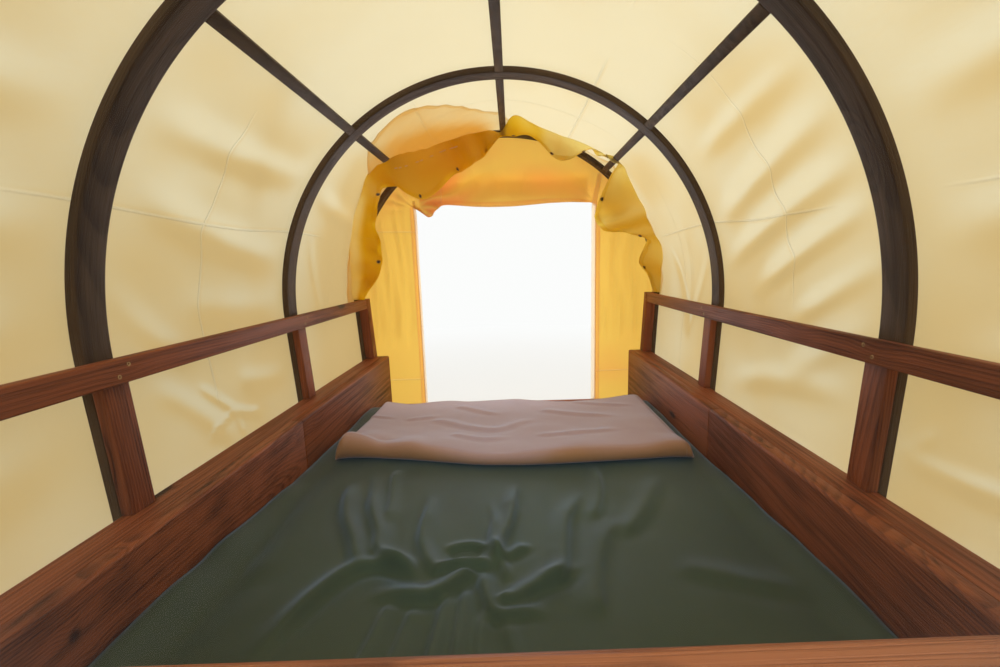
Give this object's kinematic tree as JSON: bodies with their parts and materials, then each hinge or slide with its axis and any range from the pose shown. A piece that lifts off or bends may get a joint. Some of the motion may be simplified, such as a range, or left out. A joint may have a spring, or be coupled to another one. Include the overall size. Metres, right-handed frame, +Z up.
{
  "type": "covered wagon body",
  "caption": "Hooped canvas-covered wagon body with boarded sides, hand rails, arched end window, open canvas doorway, mattress and folded blanket.",
  "frame": {"origin": "on the ground under the middle of the body", "axes": "+Z up, +Y from the window end to the door end, +X to the right seen from the window end"},
  "size_m": [1.5046, 2.4696, 1.5521],
  "materials": {
    "frame_timber": "rough stained softwood",
    "stained_timber": "red-brown stained softwood with knots",
    "bow_timber": "dark brown stained bent strip",
    "black_iron": "black painted iron",
    "clear_pane": "clear sheet",
    "cover_canvas": "cream canvas",
    "yellow_canvas": "yellow canvas",
    "door_canvas": "orange-yellow canvas",
    "bed_sheet": "dark olive cotton sheet",
    "blanket_cloth": "tan brushed blanket"
  },
  "bodies": {
    "root": {"bearer_left": "frame_timber", "bearer_right": "frame_timber", "cross_bearers": "frame_timber", "floor_boards": "frame_timber", "inner_board_left": "stained_timber", "top_plate_left": "stained_timber", "side_boards_left": "stained_timber", "post_left_1": "stained_timber", "post_left_2": "stained_timber", "post_left_3": "stained_timber", "post_left_4": "stained_timber", "rail_left": "stained_timber", "inner_board_right": "stained_timber", "top_plate_right": "stained_timber", "side_boards_right": "stained_timber", "post_right_1": "stained_timber", "post_right_2": "stained_timber", "post_right_3": "stained_timber", "post_right_4": "stained_timber", "rail_right": "stained_timber", "bow_1": "bow_timber", "bow_2": "bow_timber", "bow_3": "bow_timber", "bow_4": "bow_timber", "purlin_ridge": "bow_timber", "purlin_left": "bow_timber", "purlin_right": "bow_timber", "bow_staples": "black_iron", "front_board": "stained_timber", "window_sill": "stained_timber", "window_frame": "stained_timber", "window_pane": "clear_pane", "tail_board": "stained_timber", "rear_wall": "yellow_canvas", "door_curtain": "door_canvas", "cover": "cover_canvas", "inner_flap": "yellow_canvas", "mattress": "bed_sheet", "blanket": "blanket_cloth"}
  },
  "joints": []
}
